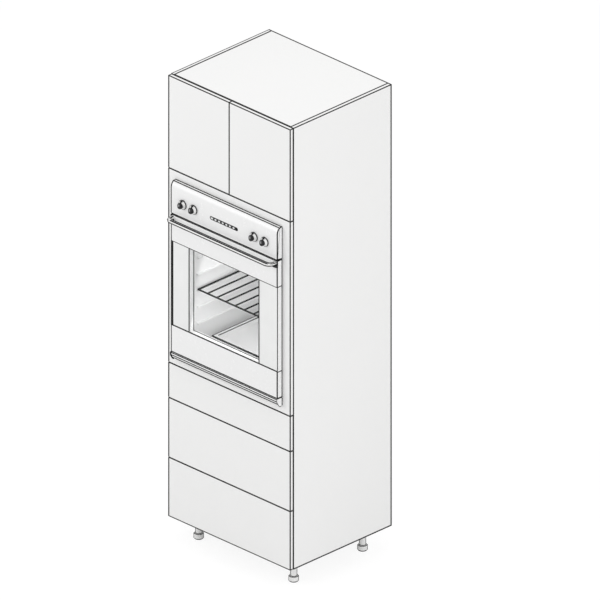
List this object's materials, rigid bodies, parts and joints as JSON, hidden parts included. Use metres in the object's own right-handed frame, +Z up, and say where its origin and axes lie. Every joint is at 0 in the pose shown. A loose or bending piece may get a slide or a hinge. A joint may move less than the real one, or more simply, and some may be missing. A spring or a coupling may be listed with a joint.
{
  "type": "tall oven housing unit",
  "caption": "Tall frameless kitchen cabinet on levelling legs, with a built-in oven, two cupboard doors above it and wide drawers below it.",
  "frame": {"origin": "middle of the footprint box on the floor: halfway across the width, and halfway between the carcass back and the front of the oven handle", "axes": "+Z up, front faces -Y, +X is the right-hand side seen from the front"},
  "size_m": [0.762, 0.707, 2.286],
  "materials": {
    "white_lacquer": "satin white lacquer on board",
    "white_board": "matt white melamine-faced board",
    "zinc_steel": "zinc-plated steel",
    "drawer_metal": "pale powder-coated steel",
    "white_enamel": "gloss white enamel",
    "cavity_enamel": "pale vitreous enamel",
    "outer_glass": "clear toughened glass with opaque white printed sides",
    "inner_glass": "clear toughened glass",
    "handle_plastic": "satin white moulded bar with a dark underside",
    "knob_plastic": "pale moulded plastic with a black grip face",
    "strip_plastic": "black bezel with pale lenses",
    "rack_wire": "black enamelled wire",
    "leg_plastic": "pale moulded nylon"
  },
  "bodies": {
    "root": {"side_panel_left": "white_lacquer", "side_panel_right": "white_lacquer", "top_panel": "white_lacquer", "upper_deck": "white_board", "oven_deck": "white_board", "bottom_panel": "white_lacquer", "back_panel": "white_board", "oven_frame_panel": "white_lacquer", "hinge_arm_left_lower": "zinc_steel", "hinge_arm_left_upper": "zinc_steel", "hinge_arm_right_lower": "zinc_steel", "hinge_arm_right_upper": "zinc_steel", "drawer_top_rail_left": "zinc_steel", "drawer_top_rail_right": "zinc_steel", "drawer_middle_rail_left": "zinc_steel", "drawer_middle_rail_right": "zinc_steel", "drawer_bottom_rail_left": "zinc_steel", "drawer_bottom_rail_right": "zinc_steel", "oven_casing": "zinc_steel", "oven_cavity": "cavity_enamel", "control_panel": "white_enamel", "bottom_trim": "white_enamel", "indicator_strip": "strip_plastic", "oven_door_hinge_left": "zinc_steel", "oven_door_hinge_right": "zinc_steel"},
    "leg_front_left": {"leg_front_left": "leg_plastic"},
    "leg_front_right": {"leg_front_right": "leg_plastic"},
    "leg_back_left": {"leg_back_left": "leg_plastic"},
    "leg_back_right": {"leg_back_right": "leg_plastic"},
    "door_left": {"door_left": "white_lacquer", "hinge_cup_left_lower": "zinc_steel", "hinge_cup_left_upper": "zinc_steel"},
    "door_right": {"door_right": "white_lacquer", "hinge_cup_right_lower": "zinc_steel", "hinge_cup_right_upper": "zinc_steel"},
    "drawer_top": {"drawer_top_front": "white_lacquer", "drawer_top_side_left": "drawer_metal", "drawer_top_side_right": "drawer_metal", "drawer_top_back": "white_board", "drawer_top_bottom": "white_board"},
    "drawer_middle": {"drawer_middle_front": "white_lacquer", "drawer_middle_side_left": "drawer_metal", "drawer_middle_side_right": "drawer_metal", "drawer_middle_back": "white_board", "drawer_middle_bottom": "white_board"},
    "drawer_bottom": {"drawer_bottom_front": "white_lacquer", "drawer_bottom_side_left": "drawer_metal", "drawer_bottom_side_right": "drawer_metal", "drawer_bottom_back": "white_board", "drawer_bottom_bottom": "white_board"},
    "oven_door": {"oven_door_frame": "white_enamel", "oven_door_outer_glass": "outer_glass", "oven_door_inner_glass": "inner_glass", "oven_door_handle": "handle_plastic"},
    "wire_rack": {"wire_rack": "rack_wire"},
    "baking_tray": {"baking_tray": "cavity_enamel"},
    "knob_1": {"knob_1": "knob_plastic"},
    "knob_2": {"knob_2": "knob_plastic"},
    "knob_3": {"knob_3": "knob_plastic"},
    "knob_4": {"knob_4": "knob_plastic"}
  },
  "joints": [
    {"name": "door_left_hinge", "type": "hinge", "parent": "root", "child": "door_left", "pos_m": [-0.3755, -0.26205, 2.05], "axis": [0, 0, -1], "range_deg": [0, 105]},
    {"name": "door_right_hinge", "type": "hinge", "parent": "root", "child": "door_right", "pos_m": [0.3755, -0.26205, 2.05], "axis": [0, 0, 1], "range_deg": [0, 105]},
    {"name": "drawer_top_slide", "type": "slide", "parent": "root", "child": "drawer_top", "axis": [0, -1, 0], "range_m": [0, 0.4]},
    {"name": "drawer_middle_slide", "type": "slide", "parent": "root", "child": "drawer_middle", "axis": [0, -1, 0], "range_m": [0, 0.4]},
    {"name": "drawer_bottom_slide", "type": "slide", "parent": "root", "child": "drawer_bottom", "axis": [0, -1, 0], "range_m": [0, 0.4]},
    {"name": "oven_door_hinge", "type": "hinge", "parent": "root", "child": "oven_door", "pos_m": [0, -0.30155, 0.9612], "axis": [1, 0, 0], "range_deg": [0, 90]},
    {"name": "rack_slide", "type": "slide", "parent": "root", "child": "wire_rack", "axis": [0, -1, 0], "range_m": [0, 0.02]},
    {"name": "tray_slide", "type": "slide", "parent": "root", "child": "baking_tray", "axis": [0, -1, 0], "range_m": [0, 0.08]},
    {"name": "knob_1_turn", "type": "hinge", "parent": "root", "child": "knob_1", "pos_m": [-0.2548, -0.315, 1.7025], "axis": [0, 1, 0], "range_deg": [0, 270]},
    {"name": "knob_2_turn", "type": "hinge", "parent": "root", "child": "knob_2", "pos_m": [-0.1875, -0.315, 1.7025], "axis": [0, 1, 0], "range_deg": [0, 270]},
    {"name": "knob_3_turn", "type": "hinge", "parent": "root", "child": "knob_3", "pos_m": [0.1875, -0.315, 1.7025], "axis": [0, 1, 0], "range_deg": [0, 270]},
    {"name": "knob_4_turn", "type": "hinge", "parent": "root", "child": "knob_4", "pos_m": [0.2548, -0.315, 1.7025], "axis": [0, 1, 0], "range_deg": [0, 270]},
    {"name": "leg_front_left_turn", "type": "hinge", "parent": "root", "child": "leg_front_left", "pos_m": [-0.295, -0.17005, 0.05], "axis": [0, 0, 1], "continuous": true},
    {"name": "leg_front_right_turn", "type": "hinge", "parent": "root", "child": "leg_front_right", "pos_m": [0.295, -0.17005, 0.05], "axis": [0, 0, 1], "continuous": true},
    {"name": "leg_back_left_turn", "type": "hinge", "parent": "root", "child": "leg_back_left", "pos_m": [-0.295, 0.25755, 0.05], "axis": [0, 0, 1], "continuous": true},
    {"name": "leg_back_right_turn", "type": "hinge", "parent": "root", "child": "leg_back_right", "pos_m": [0.295, 0.25755, 0.05], "axis": [0, 0, 1], "continuous": true}
  ]
}
